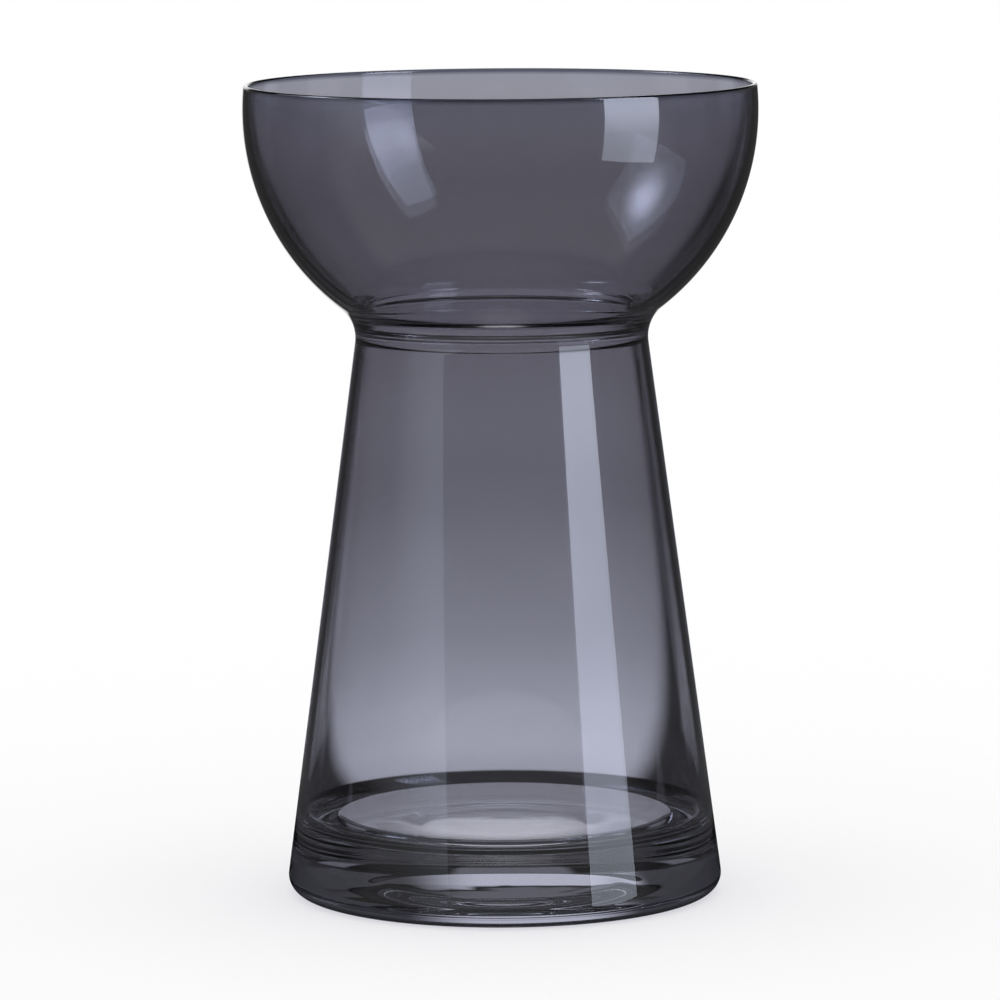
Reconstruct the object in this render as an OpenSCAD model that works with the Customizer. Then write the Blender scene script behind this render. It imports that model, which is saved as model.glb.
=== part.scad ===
/* [Overall] */
// Height of the vase from the table to the top of the rim
vase_h = 210; // [190:1:230]

/* [Bowl] */
// Radius of the bowl's round outer curve
bowl_r = 64.5; // [60:0.5:70]
// Distance from the vase's axis to the centre of the bowl's curve
bowl_offset = 1.8; // [0:0.1:4]
// Depth of the bowl's widest level below the rim
bowl_drop = 6.7; // [4:0.1:12]
// Thickness of the glass at the bowl's widest level
bowl_wall = 1.5; // [1.2:0.1:3]
// Rise of the inner curve's centre over the outer one, which thickens the bowl downwards
bowl_gain = 1.9; // [1:0.1:3]

/* [Neck] */
// Radius of the hollow outer curve between the bowl and the body
neck_r = 10; // [8:0.5:14]
// Thickness of the glass where the neck is narrowest, in the groove under the lip
neck_wall = 1.05; // [0.8:0.05:2]
// Reach of the lip, inwards from the bottom of the groove
lip_reach = 2.2; // [1.6:0.1:3]
// Rounding of the lip's upper edge
lip_round = 1.2; // [0.8:0.1:2]
// Height of the lip's upright inner face
lip_land = 1.9; // [1.2:0.1:2.6]
// Height of the groove under the lip
groove_h = 5.4; // [4.6:0.1:6]
// Rounding of the groove's upper and lower corners
groove_round = 1.9; // [1.2:0.1:2.2]

/* [Body] */
// Radius at which the body's slope would meet the table
body_foot_r = 56.94; // [54:0.02:60]
// Lean of the body's side, inwards from upright
body_lean = 7.56; // [6:0.02:8.4]
// Thickness of the body's side
body_wall = 1.75; // [1.2:0.05:3]

/* [Base] */
// Rounding of the base's outer edge
base_edge_r = 4.7; // [2:0.1:7]
// Thickness of the solid glass under the floor of the body
floor_t = 20.7; // [14:0.1:26]
// Rounding of the channel that runs round the floor, against the side
channel_round = 4.6; // [4.2:0.1:8]
// Depth of that channel below the floor
channel_dip = 3.1; // [1:0.1:4]
// Radius of the shallow hollow under the base
punt_r = 34; // [26:0.5:46]
// Depth of that hollow at the middle
punt_depth = 2; // [0.5:0.1:3]

/* [Hidden] */
$fn = 256;

// Overrun of a cut past the glass, and of a filling into it
over = 3;

// Directions square to the body's side, outwards, and along it, upwards
side_out = [cos(body_lean), sin(body_lean)];
side_up = [-sin(body_lean), cos(body_lean)];

// Centres and radii of the bowl's outer and inner curves
bowl_c = [bowl_offset, vase_h - bowl_drop];
bowl_in_c = [bowl_c.x, bowl_c.y + bowl_gain];
bowl_in_r = bowl_r - bowl_wall;

// The rim is a bead that touches both curves and ends at the vase's height
rim_sum = bowl_r + bowl_in_r;
rim_bead_r = ((bowl_wall * rim_sum + pow(bowl_gain, 2)) / (2 * bowl_gain) - bowl_drop)
    / (rim_sum / bowl_gain - 1);
rim_c_z = vase_h - rim_bead_r;
rim_c = [
    bowl_c.x + sqrt(pow(bowl_r - rim_bead_r, 2) - pow(rim_c_z - bowl_c.y, 2)),
    rim_c_z
];
rim_out = unit_of(rim_c - bowl_c);
rim_in = unit_of(bowl_in_c - rim_c);

// Centre of the neck's hollow curve, which touches the body's slope and the bowl
foot = [body_foot_r, 0];
bowl_off_side = (bowl_c - foot) * side_out;
bowl_up_side = (bowl_c - foot) * side_up;
neck_up_side = bowl_up_side - sqrt(pow(bowl_r + neck_r, 2) - pow(neck_r - bowl_off_side, 2));
neck_c = foot + side_out * neck_r + side_up * neck_up_side;
neck_low = neck_c - side_out * neck_r;
neck_to_bowl = unit_of(bowl_c - neck_c);
neck_high = neck_c + neck_to_bowl * neck_r;

// Reach of the groove, and of the opening inside the lip, from the axis
groove_r = neck_c.x - neck_r - neck_wall;
throat_r = groove_r - lip_reach;

// Centre of the rounding on the lip's upper edge
lip_c_x = throat_r + lip_round;
lip_c = [
    lip_c_x,
    bowl_in_c.y - sqrt(pow(bowl_in_r + lip_round, 2) - pow(lip_c_x - bowl_in_c.x, 2))
];
lip_to_bowl = unit_of(bowl_in_c - lip_c);

// Levels of the groove
groove_top = lip_c.y - lip_land;
groove_low = groove_top - groove_h;
groove_mid = (groove_top + groove_low) / 2;

// Centres of the roundings at the base's outer edge and in the channel round the floor
base_edge_c = [body_foot_r - base_edge_r * (1 + sin(body_lean)) / cos(body_lean), base_edge_r];
channel_z = floor_t - channel_dip + channel_round;
channel_c = [
    body_foot_r - (body_wall + channel_round + channel_z * sin(body_lean)) / cos(body_lean),
    channel_z
];

// Radius of the hollow's curve under the base
punt_curve_r = (pow(punt_r, 2) + pow(punt_depth, 2)) / (2 * punt_depth);

function unit_of(v) = v / norm(v);

// Point on the body's side line, moved inwards by a depth, at a height
function side_at(depth, z) = [body_foot_r - (depth + z * sin(body_lean)) / cos(body_lean), z];

// A disc of radius r about point c, in the plane that holds the vase's axis
module disc(c, r) {
    translate(c) circle(r = r);
}

// A band from the axis out to radius r, between two levels
module band(r, low, high) {
    translate([0, low]) square([r, high - low]);
}

// Outline of the body's outside, up to the start of the neck's curve
module body_outside() {
    difference() {
        polygon([[0, 0], foot, neck_low, [0, neck_low.y]]);
        difference() {
            polygon([base_edge_c, [base_edge_c.x, -over], foot + [over, -over],
                base_edge_c + side_out * (base_edge_r + over)]);
            disc(base_edge_c, base_edge_r);
        }
    }
}

// Glass between the body and the bowl, under the neck's hollow curve
module neck_outside() {
    difference() {
        polygon([neck_c, neck_high + neck_to_bowl * over, [0, neck_high.y + over],
            [0, neck_low.y - over], neck_low - side_out * over]);
        disc(neck_c, neck_r);
    }
}

// The part of the bowl's wall above the rim bead's centre, which the bead replaces
module above_rim_bead() {
    polygon([rim_c, rim_c + rim_out * over, rim_c + [over, bowl_r], [0, rim_c.y + bowl_r],
        [0, rim_c.y], rim_c + rim_in * over]);
}

// Outline of everything inside the vase's outer surface, the bowl filled
module outside() {
    body_outside();
    neck_outside();
    difference() {
        disc(bowl_c, bowl_r);
        above_rim_bead();
    }
}

// The bowl's hollow, with the rounded edge that leads into the throat
module bowl_hollow() {
    disc(bowl_in_c, bowl_in_r);
    difference() {
        polygon([lip_c, lip_c + lip_to_bowl * (lip_round + over), [throat_r - over, bowl_in_c.y],
            [throat_r - over, lip_c.y]]);
        disc(lip_c, lip_round);
    }
}

// The throat inside the lip and the groove under it
module throat_hollow() {
    band(throat_r, groove_mid, bowl_in_c.y);
    band(groove_r, groove_low + groove_round, groove_top - groove_round);
    disc([groove_r - groove_round, groove_top - groove_round], groove_round);
    disc([groove_r - groove_round, groove_low + groove_round], groove_round);
}

// The body's hollow, down to its flat floor and the channel round it
module body_hollow() {
    polygon([[0, floor_t], [channel_c.x, floor_t], channel_c, channel_c + side_out * channel_round,
        side_at(body_wall, groove_mid), [0, groove_mid]]);
    disc(channel_c, channel_round);
}

// The vase: one piece of smoked glass, turned about its axis
module vase() {
    color([0.36, 0.36, 0.41, 0.55]) rotate_extrude() intersection() {
        difference() {
            union() {
                outside();
                disc(rim_c, rim_bead_r);
            }
            bowl_hollow();
            throat_hollow();
            body_hollow();
            disc([0, punt_depth - punt_curve_r], punt_curve_r);
        }
        translate([0, -over]) square([bowl_r + bowl_offset + over, vase_h + 2 * over]);
    }
}

vase();
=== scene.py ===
import bpy
import bmesh
from math import asin, atan2, cos, degrees, hypot, pi, radians, sin, sqrt, tan
from mathutils import Matrix, Vector, noise


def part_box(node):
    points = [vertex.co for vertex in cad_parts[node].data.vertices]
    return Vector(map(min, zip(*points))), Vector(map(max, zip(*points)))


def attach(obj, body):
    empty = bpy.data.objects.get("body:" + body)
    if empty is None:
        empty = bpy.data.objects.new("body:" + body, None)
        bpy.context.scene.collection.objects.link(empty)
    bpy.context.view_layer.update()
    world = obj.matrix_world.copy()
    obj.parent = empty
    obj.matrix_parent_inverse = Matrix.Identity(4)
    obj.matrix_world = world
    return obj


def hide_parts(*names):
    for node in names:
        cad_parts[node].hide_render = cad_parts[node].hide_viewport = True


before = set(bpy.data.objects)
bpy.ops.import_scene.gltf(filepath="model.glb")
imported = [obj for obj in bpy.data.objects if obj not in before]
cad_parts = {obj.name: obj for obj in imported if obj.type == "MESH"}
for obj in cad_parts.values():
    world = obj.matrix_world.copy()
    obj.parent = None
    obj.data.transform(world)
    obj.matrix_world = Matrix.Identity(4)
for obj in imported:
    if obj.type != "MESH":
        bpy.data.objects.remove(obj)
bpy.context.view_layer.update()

mm = 0.001
print("frame loaded, nodes:", ", ".join(sorted(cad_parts)))

# The glass, in millimetres and degrees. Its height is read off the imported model.
vaseGlass = dict(
    height=(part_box("vase")[1].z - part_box("vase")[0].z) / mm,
    bowlRadius=64.5, bowlOffset=1.8, bowlDrop=6.7,     # outer curve of the bowl
    bowlWall=1.5, bowlGain=1.9,                        # wall at the widest level, and what it gains downwards
    neckRadius=10.0, neckWall=1.05,                    # hollow curve outside, thinnest glass behind it
    lipReach=2.2, lipRound=1.2, lipLand=1.9,           # lip inside the neck
    grooveHeight=5.4, grooveRound=1.9,                 # groove under the lip
    footRadius=56.94, lean=7.56, wall=1.75,            # sloping side of the body
    edgeRound=4.7, floorThick=20.7,                    # solid base
    moatRound=4.6, moatHeight=22.2, crestSoft=1.6,     # channel between the floor and the wall
    # shallow hollow under the base, from its middle out: radius and height
    punt=[(0, 2.0), (4, 1.985), (10, 1.92), (17, 1.80), (20.5, 1.66), (24, 0.35), (27, 0.1), (34, 0.0)],
    puntSoft=1.0,                                      # reach of the rounding of its corners, to each side
    wave=0.03, waveLength=16.0, waveNarrow=1.6,        # slow waves in it, shorter from front to back
    waveLift=0.5, waveSeed=3,                          # how much of them shows, and which pattern they take
    waveEnd=44.0, waveFade=12.0,                       # radius where they end, and over what they fade
    softCorner=0.45,                                   # fire polish on the lip's lower corners
    turns=240,                                         # faces round the glass
    weld=0.002,                                        # points closer than this become one
    # faces along each stretch of the section
    steps=dict(hollow=46, foot=12, edge=18, side=24, neck=30, bowl=64, rim=16, lip=10, land=3, groove=14,
               grooveLow=10, wall=24, moat=40, floor=20, corner=5),
)


def angleTo(start, end):
    return degrees(atan2(end[1] - start[1], end[0] - start[0]))


def drawLine(bm, tip, x, z, steps=1):
    goal = Vector((x * mm, 0, z * mm))
    step = (goal - tip.co) / steps
    for _ in range(steps):
        grown = bmesh.ops.extrude_vert_indiv(bm, verts=[tip])["verts"]
        bmesh.ops.translate(bm, verts=grown, vec=step)
        tip = grown[0]
    return tip


def drawArc(bm, tip, centre, endAngle, steps, inwards=False):
    # swings the tip about a centre, anticlockwise as seen from the front unless it goes inwards
    startAngle = angleTo(centre, (tip.co.x / mm, tip.co.z / mm))
    sweep = (endAngle - startAngle) % 360
    if inwards:
        sweep -= 360
    swung = bmesh.ops.spin(bm, geom=[tip], cent=(centre[0] * mm, 0, centre[1] * mm), axis=(0, -1, 0),
                           angle=radians(sweep), steps=steps)
    return [e for e in swung["geom_last"] if isinstance(e, bmesh.types.BMVert)][0]


def smoothRun(points, soft, steps):
    # a run of points with its corners rounded, each height an even mean over its neighbourhood
    shares = (-1.0, -0.5, 0.0, 0.5, 1.0)
    last = points[-1][0]
    run = []
    for step in range(steps + 1):
        at = last * step / steps
        tall = 0
        for share in shares:
            x = min(abs(at + share * soft), last)
            for (x0, z0), (x1, z1) in zip(points, points[1:]):
                if x0 <= x <= x1:
                    tall += (z0 + (z1 - z0) * (x - x0) / (x1 - x0)) / len(shares)
                    break
        run.append((at, tall))
    run[-1] = points[-1]
    return run


def sectionPlaces(g):
    # centres of the section's curves and ends of its straight stretches, as radius and height
    lean = radians(g["lean"])
    out = (cos(lean), sin(lean))                       # square to the sloping side
    bowl = (g["bowlOffset"], g["height"] - g["bowlDrop"])
    inner = (bowl[0], bowl[1] + g["bowlGain"])
    innerRadius = g["bowlRadius"] - g["bowlWall"]
    # the rim is a bead that touches the bowl's two curves
    both = g["bowlRadius"] + innerRadius
    bead = (((g["bowlWall"] * both + g["bowlGain"] ** 2) / (2 * g["bowlGain"]) - g["bowlDrop"])
            / (both / g["bowlGain"] - 1))
    rimZ = g["height"] - bead
    rim = (bowl[0] + sqrt((g["bowlRadius"] - bead) ** 2 - (rimZ - bowl[1]) ** 2), rimZ)
    # the neck's curve touches the slope and the bowl
    aside = (bowl[0] - g["footRadius"]) * out[0] + bowl[1] * out[1]
    climb = ((g["footRadius"] - bowl[0]) * out[1] + bowl[1] * out[0]
             - sqrt((g["bowlRadius"] + g["neckRadius"]) ** 2 - (g["neckRadius"] - aside) ** 2))
    neckLow = (g["footRadius"] - out[1] * climb, out[0] * climb)
    neck = (neckLow[0] + out[0] * g["neckRadius"], neckLow[1] + out[1] * g["neckRadius"])
    grooveX = neck[0] - g["neckRadius"] - g["neckWall"]
    throat = grooveX - g["lipReach"]
    lipX = throat + g["lipRound"]
    lip = (lipX, inner[1] - sqrt((innerRadius + g["lipRound"]) ** 2 - (lipX - inner[0]) ** 2))
    grooveTop = lip[1] - g["lipLand"]
    high = (grooveX - g["grooveRound"], grooveTop - g["grooveRound"])
    low = (high[0], grooveTop - g["grooveHeight"] + g["grooveRound"])
    edge = (g["footRadius"] - g["edgeRound"] * (1 + out[1]) / out[0], g["edgeRound"])
    wallX = g["footRadius"] - g["wall"] / out[0]       # where the inner face would meet the table
    moat = (wallX - g["moatRound"] / out[0] - g["moatHeight"] * tan(lean), g["moatHeight"])
    return dict(out=out, bowl=bowl, inner=inner, rim=rim, neckLow=neckLow, neck=neck, grooveX=grooveX,
                throat=throat, lip=lip, high=high, low=low, edge=edge, wallX=wallX, moat=moat)


def drawSection(bm, g):
    # half a section of the glass, from the middle of the underside round to the middle of the floor
    p = sectionPlaces(g)
    n = g["steps"]
    out, high, low, moat = p["out"], p["high"], p["low"], p["moat"]
    skin = bm.verts.layers.float.new("skin")
    tip = bm.verts.new((0, 0, g["punt"][0][1] * mm))
    for radius, height in smoothRun(g["punt"], g["puntSoft"], n["hollow"])[1:]:
        tip = drawLine(bm, tip, radius, height)
    tip = drawLine(bm, tip, p["edge"][0], 0, n["foot"])
    underside = set(bm.verts)
    tip = drawArc(bm, tip, p["edge"], g["lean"], n["edge"])
    tip = drawLine(bm, tip, *p["neckLow"], n["side"])
    tip = drawArc(bm, tip, p["neck"], angleTo(p["neck"], p["bowl"]), n["neck"], inwards=True)
    tip = drawArc(bm, tip, p["bowl"], angleTo(p["bowl"], p["rim"]), n["bowl"])
    tip = drawArc(bm, tip, p["rim"], angleTo(p["inner"], p["rim"]) + 180, n["rim"])
    outside = set(bm.verts) - underside                # the part that carries the smoke grey
    tip = drawArc(bm, tip, p["inner"], angleTo(p["inner"], p["lip"]), n["bowl"], inwards=True)
    tip = drawArc(bm, tip, p["lip"], 180, n["lip"])
    landEnd = high[1] + sqrt(g["grooveRound"] ** 2 - (p["throat"] - high[0]) ** 2)
    tip = drawLine(bm, tip, p["throat"], landEnd, n["land"])
    corners = [tip]
    tip = drawArc(bm, tip, high, 0, n["groove"], inwards=True)
    tip = drawLine(bm, tip, p["grooveX"], low[1], n["land"])
    # the groove's lower curve ends on the sloping wall
    reach = ((p["wallX"] - low[0]) * out[0] - low[1] * out[1]) / g["grooveRound"]
    lowEnd = g["lean"] - degrees(atan2(sqrt(max(0, 1 - reach ** 2)), reach))
    tip = drawArc(bm, tip, low, lowEnd, n["grooveLow"], inwards=True)
    corners.append(tip)
    tip = drawLine(bm, tip, moat[0] + g["moatRound"] * out[0], moat[1] + g["moatRound"] * out[1], n["wall"])
    moatDip = (g["moatHeight"] - g["floorThick"]) / g["moatRound"]
    tip = drawArc(bm, tip, moat, 180 + degrees(asin(moatDip)), n["moat"], inwards=True)
    crest = tip
    tip = drawLine(bm, tip, 0, g["floorThick"], n["floor"])
    for vert in bm.verts:
        vert[skin] = 1.0 if vert in outside else 0.0
    for points, offset in ((corners, g["softCorner"]), ([crest], g["crestSoft"])):
        bmesh.ops.bevel(bm, geom=points, offset=offset * mm, segments=n["corner"], profile=0.5,
                        affect="VERTICES", material=-1)


def unevenUnderside(bm, g):
    # slow waves, raised from the flat so that the foot stays level
    for vert in bm.verts:
        x, y, z = vert.co / mm
        away = hypot(x, y)
        if z < g["floorThick"] / 2 and away < g["waveEnd"]:
            fade = min(1, (g["waveEnd"] - away) / g["waveFade"])
            spot = Vector((x, y * g["waveNarrow"], g["waveSeed"])) / g["waveLength"]
            vert.co.z += max(0, noise.noise(spot) + g["waveLift"]) * g["wave"] * fade * mm


def blowGlass(g):
    bm = bmesh.new()
    drawSection(bm, g)
    bmesh.ops.spin(bm, geom=bm.verts[:] + bm.edges[:], cent=(0, 0, 0), axis=(0, 0, 1), angle=2 * pi,
                   steps=g["turns"], use_merge=True)
    bmesh.ops.remove_doubles(bm, verts=bm.verts[:], dist=g["weld"] * mm)
    unevenUnderside(bm, g)
    bmesh.ops.recalc_face_normals(bm, faces=bm.faces[:])
    mesh = bpy.data.meshes.new("vaseGlass")
    bm.to_mesh(mesh)
    bm.free()
    mesh.shade_smooth()
    piece = bpy.data.objects.new("vaseGlass", mesh)
    bpy.context.scene.collection.objects.link(piece)
    return piece


# Nodes by kind, with what goes into each socket: another node's output or a plain value
def addNode(tree, kind, inputs=None, **fields):
    node = tree.nodes.new(kind)
    for name, value in fields.items():
        setattr(node, name, value)
    for name, value in (inputs or {}).items():
        if isinstance(value, bpy.types.NodeSocket):
            tree.links.new(value, node.inputs[name])
        else:
            node.inputs[name].default_value = value
    return node


def calc(tree, operation, *values):
    return addNode(tree, "ShaderNodeMath", dict(enumerate(values)), operation=operation).outputs[0]


def span(tree, x, y):
    return calc(tree, "SQRT", calc(tree, "ADD", calc(tree, "MULTIPLY", x, x), calc(tree, "MULTIPLY", y, y)))


def smooth(tree, value, low, high, atLow=0.0, atHigh=1.0):
    node = addNode(tree, "ShaderNodeMapRange", {"Value": value, "From Min": low, "From Max": high,
                                                "To Min": atLow, "To Max": atHigh},
                   interpolation_type="SMOOTHSTEP")
    return node.outputs["Result"]


def blend(tree, share, first, second):
    return addNode(tree, "ShaderNodeMix", {0: share, 2: first, 3: second}, data_type="FLOAT").outputs[0]


def levels(tree, value, stops, reach):
    # a run of greys or colours along a height, a distance or an angle, from 0 to its reach
    ramp = addNode(tree, "ShaderNodeValToRGB", {"Fac": calc(tree, "DIVIDE", value, reach)})
    marks = ramp.color_ramp.elements
    while len(marks) < len(stops):
        marks.new(0.5)
    for mark, (at, level) in zip(marks, stops):
        mark.position = at / reach
        mark.color = (level, level, level, 1) if isinstance(level, float) else (*level, 1)
    return ramp.outputs["Color"]


def seenByGlass(tree):
    lightPath = addNode(tree, "ShaderNodeLightPath").outputs
    return calc(tree, "MAXIMUM", lightPath["Is Glossy Ray"], lightPath["Is Transmission Ray"])


# The smoke grey sits in a thin skin on the outside. Its levels go up the glass in metres, and each is the
# square of what one pass through the outer face leaves. How they change with height is partly painted light:
# lighter at the base and darkest in the bowl, for how bright the glass shows there.
smokedGlass = dict(
    ior=1.5,
    veil=(0.75, 0.75, 0.79, 1),                        # tints the light that it lets through to the floor
    skinReach=0.21,                                    # height of the topmost level
    skinLevelsWithPaintedLight=[(0.0, (0.340, 0.345, 0.430)), (0.040, (0.340, 0.345, 0.430)),      # base
                (0.060, (0.262, 0.264, 0.334)), (0.105, (0.130, 0.129, 0.168)),    # body
                (0.125, (0.138, 0.137, 0.178)), (0.142, (0.116, 0.114, 0.149)),    # neck
                (0.158, (0.100, 0.097, 0.126)), (0.176, (0.083, 0.081, 0.107)),    # bowl
                (0.198, (0.100, 0.098, 0.131)), (0.210, (0.100, 0.105, 0.152))],   # rim
)


def makeSmokedGlass(s):
    material = bpy.data.materials.new("smokedGlass")
    material.use_nodes = True
    tree = material.node_tree
    tree.nodes.clear()
    place = addNode(tree, "ShaderNodeTexCoord").outputs["Object"]
    height = addNode(tree, "ShaderNodeSeparateXYZ", {"Vector": place}).outputs["Z"]
    # smoke grey by height, its change with height partly painted light
    smokeWithPaintedLight = levels(tree, height, s["skinLevelsWithPaintedLight"], s["skinReach"])
    skin = addNode(tree, "ShaderNodeAttribute", attribute_name="skin", attribute_type="GEOMETRY")
    tint = addNode(tree, "ShaderNodeMix", {0: skin.outputs["Fac"], 6: (1, 1, 1, 1), 7: smokeWithPaintedLight},
                   data_type="RGBA").outputs[2]
    glass = addNode(tree, "ShaderNodeBsdfPrincipled", {"Base Color": tint, "Roughness": 0.0,
                                                       "IOR": s["ior"], "Transmission Weight": 1.0})
    veil = addNode(tree, "ShaderNodeBsdfTransparent", {"Color": s["veil"]})
    lightPath = addNode(tree, "ShaderNodeLightPath").outputs
    either = calc(tree, "MAXIMUM", lightPath["Is Shadow Ray"], lightPath["Is Diffuse Ray"])
    mixed = addNode(tree, "ShaderNodeMixShader", {0: either, 1: glass.outputs[0], 2: veil.outputs[0]})
    addNode(tree, "ShaderNodeOutputMaterial", {"Surface": mixed.outputs[0]})
    return material


vase = blowGlass(vaseGlass)
vase.data.materials.append(makeSmokedGlass(smokedGlass))
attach(vase, "root")
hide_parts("vase")
print("glass made, triangles:", sum(len(p.vertices) - 2 for p in vase.data.polygons))


# The studio, in metres, degrees and shares of white. Behind the glass the white ground shows in lanes with
# black boards between them, which draw the dark lines along its edges. On the floor these lanes and boards,
# with its pool and shadow, are painted light and shade in a glow that only the glass sees.
studio = dict(
    floorRadius=14.0,
    floorDrop=0.00005,                                 # just under the foot, so that no two faces meet
    floorPaint=(0.75, 0.75, 0.75, 1),
    floorLift=(0.25, 0.25, 0.25, 1),                   # a faint glow of its own, which makes up the white
    # the floor as the glass shows it, from under the middle of the foot outwards: a painted pool of light
    # under the middle of the foot, a painted shadow from under the foot ring out to 14 cm, then white
    paintedPoolAndShadow=[(0.0, 0.97), (0.014, 0.97), (0.022, 0.6), (0.030, 0.05), (0.140, 0.04), (0.150, 0.6), (0.170, 0.95),
          (0.220, 1.05), (0.300, 1.05), (0.450, 0.92), (1.0, 0.95)],
    paintedPoolReach=1.0,
    underFoot=(0.034, 0.05),                           # no lanes or boards closer in than this
    laneTurn=-1.5,                                     # the lane behind the glass is set to the left
    laneHalf=9.5, laneNarrow=5.5, laneSoft=3.0,        # half widths, and how far their edges fade
    laneFoot=0.08,                                     # the lanes spread from this far before the glass
    laneSides=(0.45, 0.8),                             # the other lanes come in between these distances
    board=0.06,                                        # what a black board still gives: a painted dark stripe on the floor, a dim sector in the room
    front=0.35,                                        # level of the floor on the side of the camera, a painted shade
    frontSide=(-0.35, -0.05),                          # where that side ends, as depth over distance
    # the room behind by height: a lit band over the ground, a gap, then dimmer upwards
    sky=[(0.0, 0.9), (2.0, 1.25), (11.5, 1.25), (11.8, 0.03), (12.2, 0.03), (12.6, 0.3), (25.0, 0.33),
         (35.0, 0.06), (60.0, 0.1), (90.0, 0.4)],
    frontSky=[(0.0, 0.3), (15.0, 0.15), (35.0, 0.06), (60.0, 0.15), (90.0, 0.4)],
    skyReach=90.0,
    bandTurn=-5.0, bandHalf=(8.0, 24.0), bandLeast=0.1,    # the lit band lies behind and fades to both sides
    bandTop=(13.0, 16.0),                              # lanes take over from the band between these heights
    lanesTop=(34.0, 50.0),                             # and an even light from the lanes between these
)


def lanes(tree, place, s, foot):
    # 1 on the white lanes, down to the level of the boards between them, every 45 degrees, every other one
    # narrower. A reflection on the outside shows only the lane behind.
    part = addNode(tree, "ShaderNodeSeparateXYZ", {"Vector": place}).outputs
    away = span(tree, part["X"], part["Y"])
    bearing = calc(tree, "SUBTRACT", calc(tree, "ARCTAN2", part["X"], part["Y"]), radians(s["laneTurn"]))
    folded = calc(tree, "WRAP", bearing, pi / 4, -pi / 4)
    corner = calc(tree, "SUBTRACT", pi / 4, calc(tree, "ABSOLUTE", folded))

    def lane(turn, half):
        aside = calc(tree, "ABSOLUTE", calc(tree, "MULTIPLY", away, calc(tree, "SINE", turn)))
        along = calc(tree, "ADD", calc(tree, "MULTIPLY", away, calc(tree, "COSINE", turn)), foot)
        spread = calc(tree, "ARCTAN2", aside, along)
        return smooth(tree, spread, radians(half), radians(half + s["laneSoft"]), 1.0, s["board"])

    through = addNode(tree, "ShaderNodeLightPath").outputs["Is Transmission Ray"]
    behind = lane(bearing, s["laneHalf"])
    around = calc(tree, "MAXIMUM", lane(folded, s["laneHalf"]), lane(corner, s["laneNarrow"]))
    around = blend(tree, smooth(tree, away, *s["laneSides"]), s["board"], around)
    return blend(tree, through, behind, calc(tree, "MAXIMUM", behind, around)), away


def cameraSide(tree, place, away, s):
    # 1 on the side of the camera, down to 0 on the far side and under the foot
    ahead = calc(tree, "DIVIDE", addNode(tree, "ShaderNodeSeparateXYZ", {"Vector": place}).outputs["Y"], away)
    return calc(tree, "MULTIPLY", smooth(tree, ahead, *s["frontSide"], 1.0, 0.0),
                smooth(tree, away, *s["underFoot"]))


def makeFloor(s):
    bm = bmesh.new()
    bmesh.ops.create_circle(bm, cap_ends=True, radius=s["floorRadius"], segments=96)
    mesh = bpy.data.meshes.new("floor")
    bm.to_mesh(mesh)
    bm.free()
    mesh.transform(Matrix.Translation((0, 0, -s["floorDrop"])))
    floor = bpy.data.objects.new("floor", mesh)
    bpy.context.scene.collection.objects.link(floor)
    material = bpy.data.materials.new("floorWhite")
    material.use_nodes = True
    tree = material.node_tree
    tree.nodes.clear()
    place = addNode(tree, "ShaderNodeTexCoord").outputs["Object"]
    # what the glass sees on the floor is painted light and shade: lanes, boards, pool, shadow ring and a
    # darker camera side
    lit, away = lanes(tree, place, s, s["laneFoot"])
    lit = blend(tree, smooth(tree, away, *s["underFoot"]), 1.0, lit)
    lit = blend(tree, cameraSide(tree, place, away, s), lit, s["front"])
    shown = calc(tree, "MULTIPLY", levels(tree, away, s["paintedPoolAndShadow"], s["paintedPoolReach"]), lit)
    glow = addNode(tree, "ShaderNodeEmission", {"Color": shown, "Strength": 1.0})
    matt = addNode(tree, "ShaderNodeBsdfDiffuse", {"Color": s["floorPaint"]})
    lift = addNode(tree, "ShaderNodeEmission", {"Color": s["floorLift"], "Strength": 1.0})
    plain = addNode(tree, "ShaderNodeAddShader", {0: matt.outputs[0], 1: lift.outputs[0]})
    mixed = addNode(tree, "ShaderNodeMixShader",
                    {0: seenByGlass(tree), 1: plain.outputs[0], 2: glow.outputs[0]})
    addNode(tree, "ShaderNodeOutputMaterial", {"Surface": mixed.outputs[0]})
    mesh.materials.append(material)


def makeSurround(s):
    world = bpy.data.worlds.new("studio")
    world.use_nodes = True
    tree = world.node_tree
    tree.nodes.clear()
    way = addNode(tree, "ShaderNodeTexCoord").outputs["Generated"]
    part = addNode(tree, "ShaderNodeSeparateXYZ", {"Vector": way}).outputs
    height = calc(tree, "DEGREES", calc(tree, "ARCSINE", part["Z"]))
    bearing = calc(tree, "DEGREES", calc(tree, "ARCTAN2", part["X"], part["Y"]))
    # one band just over the ground behind, lanes above it, even overhead
    turned = calc(tree, "ABSOLUTE", calc(tree, "SUBTRACT", bearing, s["bandTurn"]))
    band = smooth(tree, turned, *s["bandHalf"], 1.0, s["bandLeast"])
    lit, away = lanes(tree, way, s, 0.0)
    sides = blend(tree, smooth(tree, height, *s["bandTop"]), band, lit)
    sides = blend(tree, smooth(tree, height, *s["lanesTop"]), sides, 1.0)
    sky = calc(tree, "MULTIPLY", levels(tree, height, s["sky"], s["skyReach"]), sides)
    frontSky = levels(tree, height, s["frontSky"], s["skyReach"])
    shown = blend(tree, cameraSide(tree, way, away, s), sky, frontSky)
    white = addNode(tree, "ShaderNodeBackground", {"Color": (1, 1, 1, 1), "Strength": 1.0})
    room = addNode(tree, "ShaderNodeBackground", {"Color": shown, "Strength": 1.0})
    mixed = addNode(tree, "ShaderNodeMixShader",
                    {0: seenByGlass(tree), 1: white.outputs[0], 2: room.outputs[0]})
    addNode(tree, "ShaderNodeOutputWorld", {"Surface": mixed.outputs[0]})
    bpy.context.scene.world = world


makeFloor(studio)
makeSurround(studio)


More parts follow.
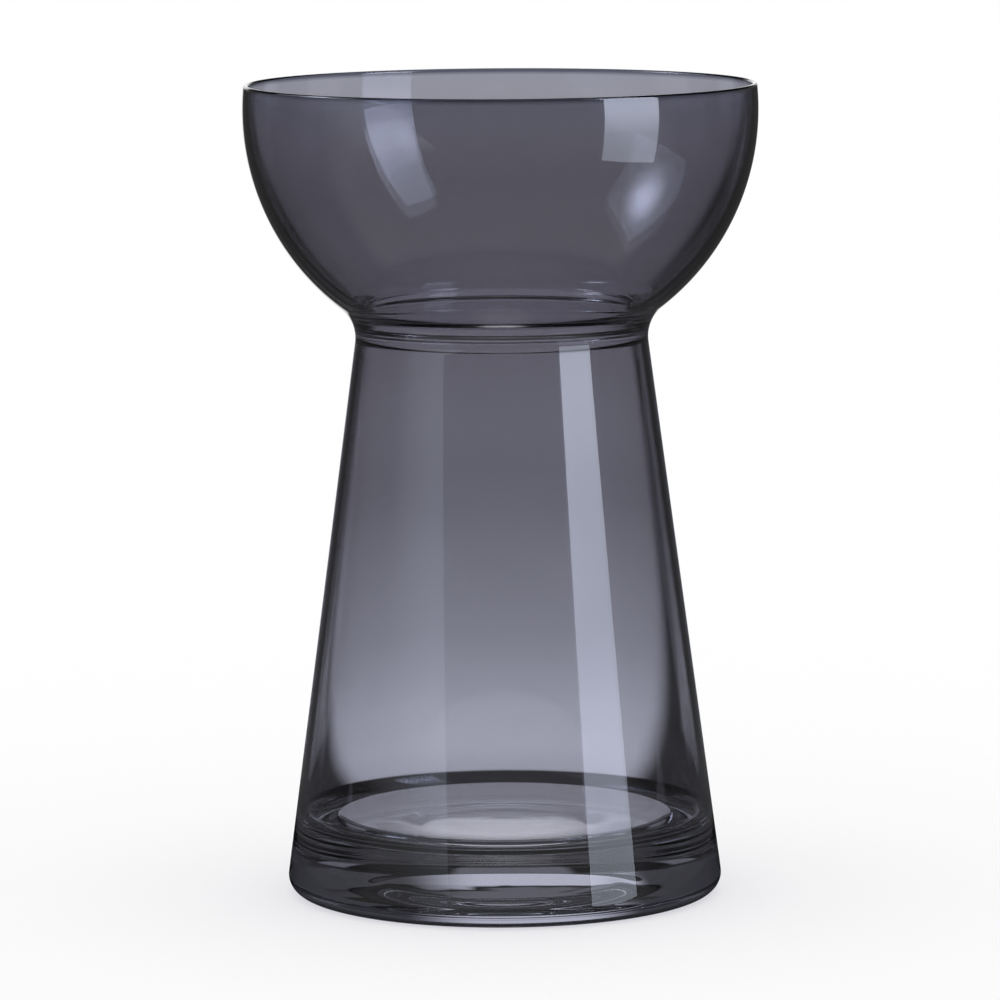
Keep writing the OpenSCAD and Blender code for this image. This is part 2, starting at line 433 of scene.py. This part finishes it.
def stripGlow(tree, across, b):
    # levels from the bottom edge to the top one
    top = max(level for _, level in b["levels"])
    shares = [(at, level / top) for at, level in b["levels"]]
    return calc(tree, "MULTIPLY", levels(tree, across["Y"], shares, 1.0), top)


def coreGlow(tree, across, b):
    # bright in the middle, down to its edges
    x, y = [calc(tree, "MULTIPLY", calc(tree, "SUBTRACT", across[axis], 0.5), b[size])
            for axis, size in (("X", "wide"), ("Y", "tall"))]
    return smooth(tree, span(tree, x, y), 0.0, b["reach"], b["peak"], b["least"])


def edgeGlow(tree, across, b):
    # a dim board whose bright side ends in a slanting edge and fades away from it, and towards the ground
    aside = calc(tree, "MULTIPLY", calc(tree, "SUBTRACT", across["X"], 0.5), b["wide"])
    height = calc(tree, "MULTIPLY", across["Y"], b["tall"])
    slanted = calc(tree, "MULTIPLY", calc(tree, "SUBTRACT", height, b["edgeFoot"]), b["edgeSlant"])
    inside = calc(tree, "SUBTRACT", calc(tree, "SUBTRACT", b["edge"], slanted), aside)
    sharp = smooth(tree, inside, 0.0, b["edgeSoft"], 0.0, b["peak"])
    faded = calc(tree, "MULTIPLY", sharp, smooth(tree, inside, *b["fade"], 1.0, 0.0))
    return calc(tree, "MULTIPLY", faded, smooth(tree, height, 0.0, b["footFade"]))


# Soft boxes: bearing from the front towards the right in degrees, middle height, distance and size in
# metres, and brightness in shares of white
boxTone = (0.92, 1.0, 1.18)                            # a little cool
softBoxes = [
    dict(name="rightStrip", bearing=57.5, height=0.475, away=0.62, wide=0.29, tall=0.95, glow=stripGlow,
         levels=[(0.0, 2.9), (0.08, 2.9), (0.13, 3.3), (0.17, 4.6), (0.22, 6.0), (0.28, 6.2), (0.38, 8.2),
                 (0.47, 8.2), (0.7, 4.2), (1.0, 2.8)]),
    dict(name="leftBox", bearing=-97, height=0.62, away=0.6, wide=0.52, tall=0.46, glow=coreGlow,
         peak=14.0, least=1.6, reach=0.19),
    dict(name="leftPanel", bearing=-65, height=0.22, away=0.6, wide=1.0, tall=0.44, glow=edgeGlow,
         peak=0.75, edge=0.42, edgeFoot=0.07, edgeSlant=1.275, edgeSoft=0.006, fade=(0.05, 0.55),
         footFade=0.1),
]


def hangSoftBox(b):
    light = bpy.data.lights.new(b["name"], "AREA")
    light.shape = "RECTANGLE"
    light.size = b["wide"]
    light.size_y = b["tall"]
    light.energy = pi * b["wide"] * b["tall"]          # radiance 1 when the emission is 1
    light.color = boxTone
    light.use_nodes = True
    tree = light.node_tree
    tree.nodes.clear()
    across = addNode(tree, "ShaderNodeSeparateXYZ",
                     {"Vector": addNode(tree, "ShaderNodeNewGeometry").outputs["Parametric"]}).outputs
    # only its first mirror image in the glass shows, not the sparks deep in the base
    first = calc(tree, "LESS_THAN", addNode(tree, "ShaderNodeLightPath").outputs["Glossy Depth"], 1.5)
    strength = calc(tree, "MULTIPLY", b["glow"](tree, across, b), first)
    glow = addNode(tree, "ShaderNodeEmission", {"Strength": strength})
    addNode(tree, "ShaderNodeOutputLight", {"Surface": glow.outputs[0]})
    lamp = bpy.data.objects.new(b["name"], light)
    turn = radians(b["bearing"])
    lamp.location = (sin(turn) * b["away"], -cos(turn) * b["away"], b["height"])
    lamp.rotation_euler = (pi / 2, 0, turn)            # upright, facing the glass
    lamp.visible_camera = False
    lamp.visible_diffuse = False
    bpy.context.scene.collection.objects.link(lamp)


for box in softBoxes:
    hangSoftBox(box)
print("studio lit")

# The camera, in metres, with its lens and sensor in millimetres and its roll in degrees
viewpoint = dict(away=1.5851, height=0.3058, aim=0.105, lens=222.4, sensor=36, shiftX=-0.0026, shiftY=-0.0109,
                 roll=0.35)


def setCamera(v):
    camera = bpy.data.cameras.new("camera")
    camera.lens = v["lens"]
    camera.sensor_width = v["sensor"]
    camera.shift_x = v["shiftX"]
    camera.shift_y = v["shiftY"]
    eye = bpy.data.objects.new("camera", camera)
    eye.location = (0, -v["away"], v["height"])
    dip = atan2(v["height"] - v["aim"], v["away"])
    rolled = Matrix.Rotation(-radians(v["roll"]), 3, "Z")
    eye.rotation_euler = (Matrix.Rotation(pi / 2 - dip, 3, "X") @ rolled).to_euler()
    bpy.context.scene.collection.objects.link(eye)
    bpy.context.scene.camera = eye


setCamera(viewpoint)
scene = bpy.context.scene
scene.view_settings.view_transform = "Standard"
# light crosses many faces of glass in the thick base
scene.cycles.max_bounces = 24
scene.cycles.transmission_bounces = 24
scene.cycles.glossy_bounces = 16
scene.cycles.transparent_max_bounces = 24
print("camera set")
